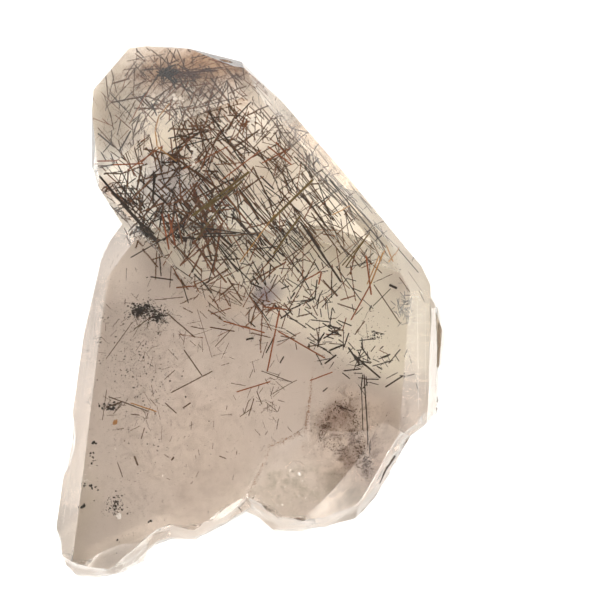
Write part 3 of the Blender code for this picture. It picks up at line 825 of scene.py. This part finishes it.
GRAIN_AND_PAINTED_REFLECTION_PATCHES = (
    (300, (-12.3, 0.35, 1.3, 0.7, 15), (0.07, 0.34, 0.15), (0.5, 2.6)),
    (240, (-10.7, -0.3, 1.3, 0.8, -10), (0.07, 0.3, 0.13), (0.5, 2.6)),
    (240, (-11.4, -0.2, 3.0, 1.8, 0), (0.04, 0.18, 0.08), (0.5, 3.5)),
    (170, (-12.5, -6.0, 4.8, 5.0, 0), (0.06, 0.28, 0.1), (0.4, 4)),
    (60, (-9.0, -13.0, 8.0, 9.0, 0), (0.06, 0.22, 0.1), (0.4, 4)),
    (26, (-15.9, -10.4, 1.4, 0.6, 0), (0.1, 0.4, 0.18), (0.4, 1.8)),
    (14, (-16.5, -0.6, 0.6, 0.4, 0), (0.06, 0.2, 0.12), (0.3, 1.5)),
    (14, (-17.1, -3.1, 0.5, 0.4, 0), (0.06, 0.2, 0.12), (0.3, 1.5)),
    (10, (-15.8, -10.8, 0.8, 0.3, 0), (0.2, 0.5, 0.3), (0.5, 1.5)),
    (4, (-17.6, -14.6, 0.3, 0.3, 0), (0.3, 0.55, 0.4), (0.4, 1.0)),
    (9, (-17.8, -16.3, 0.5, 1.2, 0), (0.15, 0.35, 0.22), (0.4, 1.0)),
    (9, (-17.9, -19.5, 0.9, 0.35, -20), (0.2, 0.4, 0.28), (0.4, 1.0)),
    (6, (-18.8, -21.7, 0.5, 0.4, 0), (0.2, 0.45, 0.3), (0.4, 1.0)),
    (110, (-15.4, -21.6, 1.2, 1.1, 0), (0.05, 0.28, 0.11), (0.4, 2.0)),
    (2, (-11.4, -23.5, 0.2, 0.1, 0), (0.25, 0.35, 0.3), (0.5, 1.0)),
    (1, (-15.0, -25.5, 0.1, 0.1, 0), (0.25, 0.3, 0.28), (0.5, 1.0)),
    (1, (-15.3, -26.9, 0.1, 0.1, 0), (0.2, 0.25, 0.22), (0.5, 1.0)),
    (40, (-9.1, 26.7, 0.8, 0.5, 20), (0.1, 0.3, 0.16), (0.4, 1.4)),
    (30, (14.0, -2.5, 1.1, 0.4, 0), (0.08, 0.3, 0.16), (0.4, 1.2)),
    (60, (0.6, 2.4, 1.5, 0.8, 10), (0.05, 0.14, 0.09), (0.8, 3.0)),
    # A narrow band of specks along the chipped lower right edge, which also paints the dark reflection there.
    (24, (16.0, -17.6, 1.6, 0.3, 50), (0.1, 0.3, 0.18), (0.2, 0.8)),
)
DUST_PATCHES = (
    (1300, (-12.8, -4.5, 5.5, 7.5, 0), (0.03, 0.12, 0.055), (0.5, 8)),
    (500, (-13.5, -13.0, 5.0, 5.0, 0), (0.03, 0.12, 0.055), (0.5, 8)),
    (500, (-14.0, -21.5, 6.0, 6.5, 0), (0.03, 0.12, 0.055), (0.5, 8)),
    (800, (-2.0, -12.0, 9.0, 10.0, 0), (0.03, 0.1, 0.05), (0.5, 9)),
    (900, (11.4, -14.0, 4.2, 6.6, 0), (0.03, 0.15, 0.06), (0.3, 6)),
    (150, (9.8, -10.8, 2.2, 0.9, 40), (0.04, 0.24, 0.08), (0.3, 3)),
    (130, (11.9, -12.6, 0.8, 2.2, 10), (0.04, 0.24, 0.08), (0.3, 3)),
    (120, (9.6, -15.2, 2.3, 0.8, -30), (0.04, 0.22, 0.08), (0.3, 3)),
    (190, (12.6, -16.6, 0.8, 2.2, 10), (0.05, 0.3, 0.1), (0.3, 3)),
    (180, (8.2, -13.2, 1.3, 0.6, 70), (0.04, 0.2, 0.08), (0.3, 3)),
    (260, (12.0, -3.0, 5.0, 4.0, 0), (0.04, 0.14, 0.07), (0.5, 5)),
    (200, (-11.5, 9.0, 1.8, 0.35, -48), (0.05, 0.22, 0.1), (0.3, 3)),
)
CONTACT_PATCHES = (
    (200, (6.5, -10.1, 4.2, 0.16, 82), (0.04, 0.16, 0.08), (0.2, 1.2)),
    (130, (4.1, -14.1, 2.6, 0.25, 25), (0.04, 0.15, 0.07), (0.2, 1.2)),
    (160, (0.6, -18.4, 4.2, 0.25, 65), (0.04, 0.15, 0.07), (0.2, 1.2)),
)
contact_grain = mineral("contact_film", (0.16, 0.07, 0.03), (0.42, 0.24, 0.13), 700, 0.6)
black_grain = mineral("black_ore", (0.01, 0.009, 0.008), (0.05, 0.042, 0.036), 900, 0.45)
dust_grain = mineral("brown_dust", (0.045, 0.03, 0.022), (0.18, 0.12, 0.085), 700, 0.7)
amber_grain = mineral("amber_grain", (0.24, 0.1, 0.03), (0.62, 0.36, 0.16), 1500, 0.35)
for name, groups, look in (
    ("dark_grains_and_painted_reflection", GRAIN_AND_PAINTED_REFLECTION_PATCHES, black_grain),
    ("fine_dust", DUST_PATCHES, dust_grain),
    ("contact_dust", CONTACT_PATCHES, contact_grain),
    ("amber_grain", ((1, (-15.3, -12.3, 0.01, 0.01, 0), (0.7, 0.8, 0.75), (0.5, 0.6)),), amber_grain),
):
    places = [placed for group in groups for placed in specks(*group)]
    piece = joined_copies(name, grain, places)
    piece.data.materials.append(look)
bpy.data.objects.remove(grain)


# Pale growth seams
# Hair-thin gaps along the outer flanks, where one growth layer of the quartz didn't quite close over
# the last. The air in them shows as fine pale lines.
GROWTH_SEAMS = (
    (-18.9, -2.0, -21.1, -18.0, 0.05),
    (-18.3, 0.5, -20.3, -14.0, 0.06),
    (-17.6, 3.0, -19.6, -12.0, 0.05),
    (-17.2, 2.0, -18.9, -10.0, 0.06),
    (-19.6, -12.0, -21.2, -24.0, 0.06),
    (-18.9, -12.0, -20.4, -23.0, 0.05),
    (18.6, 1.5, 18.8, -11.0, 0.06),
    (19.5, 1.0, 19.6, -9.0, 0.05),
)
# Pale for the air in the growth seams, and painted glint where the flecks use it.
air_break_and_painted_glint = mineral("air_filled_break_and_painted_glint", (0.88, 0.86, 0.83), (0.97, 0.97, 0.96), 900, 0.3, shine=0.5)
thin_seam = make_needle_model("thin_seam_model", 4)
seams = joined_copies("growth_seams", thin_seam, laid(GROWTH_SEAMS, (0.15, 0.3)))
seams.data.materials.append(air_break_and_painted_glint)
bpy.data.objects.remove(thin_seam)


# White flecks
# Thin flat breaks inside the quartz that are filled with air. Their white is painted glint, standing in for
# the sparkle of light off the air films.
bpy.ops.object.select_all(action="DESELECT")
bpy.ops.mesh.primitive_cylinder_add(vertices=7, radius=0.5, depth=0.06, end_fill_type="NGON")
fleck = bpy.context.active_object
for corner in fleck.data.vertices:
    corner.co.xy *= 1 + 0.45 * noise.noise(Vector((*corner.co.xy, 0)) * 3.1)
FLECK_PATCHES = (
    (5, (-14.9, -22.8, 0.25, 0.35, 0), (0.3, 0.75, 0.55), (0.3, 0.6)),
    (3, (-10.9, 28.1, 0.3, 0.3, 0), (0.3, 0.6, 0.4), (0.3, 0.6)),
    (3, (-9.7, 29.3, 0.4, 0.3, 0), (0.2, 0.4, 0.3), (0.2, 0.4)),
    (9, (-8.4, 24.2, 0.8, 0.35, -40), (0.2, 0.6, 0.35), (0.15, 0.35)),
    (14, (-6.3, 17.9, 0.4, 0.9, 0), (0.3, 0.9, 0.55), (0.15, 0.35)),
    (12, (0.0, 21.6, 0.9, 0.6, -20), (0.15, 0.5, 0.3), (0.15, 0.35)),
    (26, (-18.7, -18.8, 0.5, 1.8, -15), (0.08, 0.25, 0.14), (0.2, 0.7)),
    (2, (-9.8, -18.2, 0.2, 0.2, 0), (0.2, 0.4, 0.3), (0.3, 0.6)),
    (1, (-17.1, -5.6, 0.05, 0.05, 0), (0.25, 0.3, 0.28), (0.3, 0.5)),
    (1, (-17.2, -9.3, 0.05, 0.05, 0), (0.2, 0.25, 0.22), (0.3, 0.5)),
    (1, (-15.3, -15.3, 0.05, 0.05, 0), (0.2, 0.25, 0.22), (0.3, 0.5)),
    (30, (-14.0, -28.4, 1.8, 0.5, 15), (0.1, 0.4, 0.18), (0.15, 0.6)),
    (60, (4.5, -20.5, 4.0, 2.5, 10), (0.06, 0.3, 0.12), (0.2, 1.2)),
    (40, (17.5, -9.0, 2.0, 4.0, 0), (0.05, 0.18, 0.1), (0.2, 1.0)),
    (60, (-6.0, 15.0, 8.0, 9.0, 0), (0.05, 0.2, 0.1), (0.3, 2.0)),
)
places = [placed for patch in FLECK_PATCHES for placed in specks(*patch)]
flecks = joined_copies("white_flecks_painted_glints", fleck, places)
flecks.data.materials.append(air_break_and_painted_glint)
bpy.data.objects.remove(fleck)


# Floor, light and camera
# A plain pale table under even studio light, seen from straight above as the photograph shows it.
FLOOR_GAP = 0.02 * MM
bpy.ops.object.select_all(action="DESELECT")
bpy.ops.mesh.primitive_plane_add(size=3, location=(0, 0, 0))
floor = bpy.context.active_object
floor.name = "studio_floor"
floor.data.transform(Matrix.Translation((0, 0, -FLOOR_GAP)))
floor_look, tree, shader, _ = new_material("pale_floor")
shader.inputs["Base Color"].default_value = (0.9, 0.9, 0.89, 1)
shader.inputs["Roughness"].default_value = 0.9
floor.data.materials.append(floor_look)

world = bpy.data.worlds.new("studio_light")
bpy.context.scene.world = world
world.use_nodes = True
backdrop = world.node_tree.nodes["Background"]
backdrop.inputs["Color"].default_value = (1, 0.99, 0.97, 1)
sky_way = world.node_tree.nodes.new("ShaderNodeTexCoord")
sky_parts = world.node_tree.nodes.new("ShaderNodeSeparateXYZ")
sky_light = world.node_tree.nodes.new("ShaderNodeMapRange")
sky_light.interpolation_type = "SMOOTHSTEP"
sky_light.inputs["From Min"].default_value = 0.7
sky_light.inputs["From Max"].default_value = 0.97
sky_light.inputs["To Min"].default_value = 2.1
sky_light.inputs["To Max"].default_value = 0.4
world.node_tree.links.new(sky_way.outputs["Generated"], sky_parts.inputs["Vector"])
world.node_tree.links.new(sky_parts.outputs["Z"], sky_light.inputs["Value"])
world.node_tree.links.new(sky_light.outputs["Result"], backdrop.inputs["Strength"])


def soft_light(name, place, size, watts):
    """A square soft light that faces the cluster."""
    data = bpy.data.lights.new(name, "AREA")
    data.shape = "SQUARE"
    data.size = size
    data.energy = watts
    lamp = bpy.data.objects.new(name, data)
    lamp.location = place
    lamp.rotation_euler = (-Vector(place)).to_track_quat("-Z", "Y").to_euler()
    bpy.context.collection.objects.link(lamp)


soft_light("upper_left_light", (-0.35, 0.3, 0.5), 0.25, 3)
soft_light("right_light", (0.45, -0.1, 0.4), 0.2, 1.5)

CAMERA_HEIGHT = 700 * MM
VIEW_HEIGHT = 67.7 * MM
VIEW_MIDDLE = (5.27 * MM, 1.46 * MM)
MEAN_HEIGHT = 12 * MM
camera_data = bpy.data.cameras.new("camera")
camera_data.sensor_width = 36
camera_data.lens = 36 * (CAMERA_HEIGHT - MEAN_HEIGHT) / VIEW_HEIGHT
camera = bpy.data.objects.new("camera", camera_data)
camera.location = (*VIEW_MIDDLE, CAMERA_HEIGHT)
bpy.context.collection.objects.link(camera)
bpy.context.scene.camera = camera
bpy.context.scene.view_settings.view_transform = "Standard"
